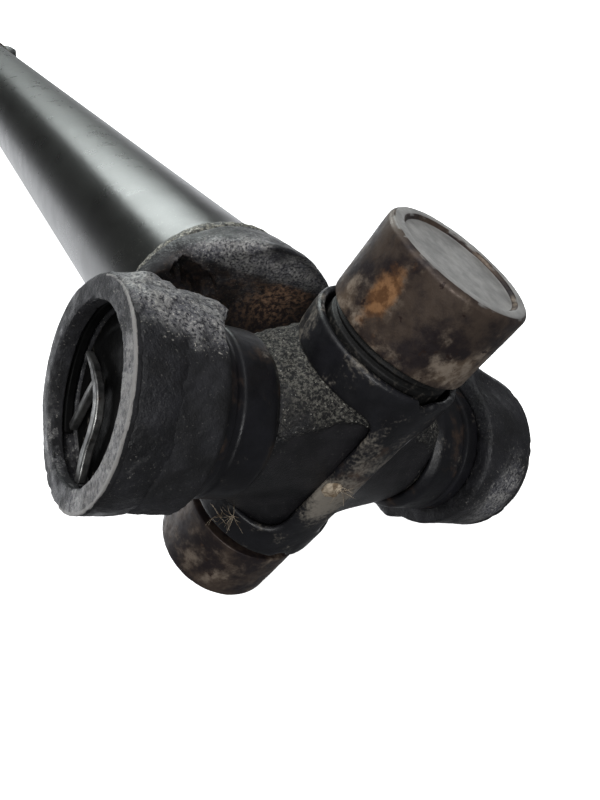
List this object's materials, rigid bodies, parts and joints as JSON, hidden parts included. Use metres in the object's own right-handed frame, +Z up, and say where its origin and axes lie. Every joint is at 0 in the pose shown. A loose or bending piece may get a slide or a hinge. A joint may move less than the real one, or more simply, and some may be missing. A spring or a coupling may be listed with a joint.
{
  "type": "propeller shaft",
  "caption": "Propeller shaft with a universal joint at each end, a splined slip joint and loose bearing cups held on each cross by a retaining strap.",
  "frame": {"origin": "on the ground under the middle of the shaft as it lies on one ear and one loose bearing cup of each joint", "axes": "+X along the shaft towards the fixed-yoke joint, the one in the picture; +Z up; the ears' axis is rolled 34.7 degrees below +Y"},
  "size_m": [0.7704, 0.0938, 0.0799],
  "materials": {
    "black_paint": "satin black paint, dusty and scuffed",
    "forged_steel": "black forging, rough with rust glow and grime",
    "gritty_crust": "rough gritty grime over black steel",
    "rusty_steel": "ground steel with orange and brown rust bloom",
    "bright_steel": "machined, lightly oiled",
    "spring_steel": "dull spring steel",
    "seal_rubber": "matt",
    "black_strap": "satin moulded plastic, dirty",
    "felt": "felt",
    "brass": "dull"
  },
  "bodies": {
    "tube_shaft": {"shaft_tube": "black_paint", "weld_bead_fixed": "gritty_crust", "weld_bead_slip": "gritty_crust", "tube_yoke": "forged_steel", "splined_stub": "bright_steel", "balance_weight_fixed": "black_paint", "balance_weight_slip": "black_paint", "fixed_ear_cup_left": "rusty_steel", "fixed_ear_rollers_left": "bright_steel", "fixed_snap_ring_left": "spring_steel", "fixed_ear_cup_right": "rusty_steel", "fixed_ear_rollers_right": "bright_steel", "fixed_snap_ring_right": "spring_steel"},
    "fixed_cross": {"fixed_cross": "gritty_crust", "fixed_retaining_strap": "black_strap", "fixed_ear_seal_left": "seal_rubber", "fixed_ear_guard_left": "forged_steel", "fixed_ear_seal_right": "seal_rubber", "fixed_ear_guard_right": "forged_steel", "fixed_free_seal_upper": "seal_rubber", "fixed_free_seal_lower": "seal_rubber"},
    "slip_yoke": {"slip_yoke": "forged_steel", "sleeve_plug": "bright_steel", "grease_fitting": "brass", "dust_cap": "black_paint", "felt_seal": "felt", "slip_ear_cup_left": "rusty_steel", "slip_ear_rollers_left": "bright_steel", "slip_snap_ring_left": "spring_steel", "slip_ear_cup_right": "rusty_steel", "slip_ear_rollers_right": "bright_steel", "slip_snap_ring_right": "spring_steel"},
    "slip_cross": {"slip_cross": "gritty_crust", "slip_retaining_strap": "black_strap", "slip_ear_seal_left": "seal_rubber", "slip_ear_guard_left": "forged_steel", "slip_ear_seal_right": "seal_rubber", "slip_ear_guard_right": "forged_steel", "slip_free_seal_upper": "seal_rubber", "slip_free_seal_lower": "seal_rubber"},
    "fixed_free_cup_upper": {"fixed_free_cup_upper": "rusty_steel", "fixed_free_rollers_upper": "bright_steel"},
    "fixed_free_cup_lower": {"fixed_free_cup_lower": "rusty_steel", "fixed_free_rollers_lower": "bright_steel"},
    "slip_free_cup_upper": {"slip_free_cup_upper": "rusty_steel", "slip_free_rollers_upper": "bright_steel"},
    "slip_free_cup_lower": {"slip_free_cup_lower": "rusty_steel", "slip_free_rollers_lower": "bright_steel"}
  },
  "joints": [
    {"name": "fixed_cross_swing", "type": "hinge", "parent": "tube_shaft", "child": "fixed_cross", "pos_m": [0.36, 0, 0.03997], "axis": [0, 0.8221, -0.5693], "range_deg": [-46, 10]},
    {"name": "slip_travel", "type": "slide", "parent": "tube_shaft", "child": "slip_yoke", "axis": [-1, 0, 0], "range_m": [-0.012, 0.05]},
    {"name": "slip_cross_swing", "type": "hinge", "parent": "slip_yoke", "child": "slip_cross", "pos_m": [-0.36, 0, 0.03997], "axis": [0, 0.8221, -0.5693], "range_deg": [-10, 46]},
    {"name": "fixed_free_cup_upper_spin", "type": "hinge", "parent": "fixed_cross", "child": "fixed_free_cup_upper", "pos_m": [0.36, 0, 0.03997], "axis": [0.309, 0.5414, 0.7819], "continuous": true},
    {"name": "fixed_free_cup_lower_spin", "type": "hinge", "parent": "fixed_cross", "child": "fixed_free_cup_lower", "pos_m": [0.36, 0, 0.03997], "axis": [-0.309, -0.5414, -0.7819], "continuous": true},
    {"name": "slip_free_cup_upper_spin", "type": "hinge", "parent": "slip_cross", "child": "slip_free_cup_upper", "pos_m": [-0.36, 0, 0.03997], "axis": [-0.309, 0.5414, 0.7819], "continuous": true},
    {"name": "slip_free_cup_lower_spin", "type": "hinge", "parent": "slip_cross", "child": "slip_free_cup_lower", "pos_m": [-0.36, 0, 0.03997], "axis": [0.309, -0.5414, -0.7819], "continuous": true}
  ]
}
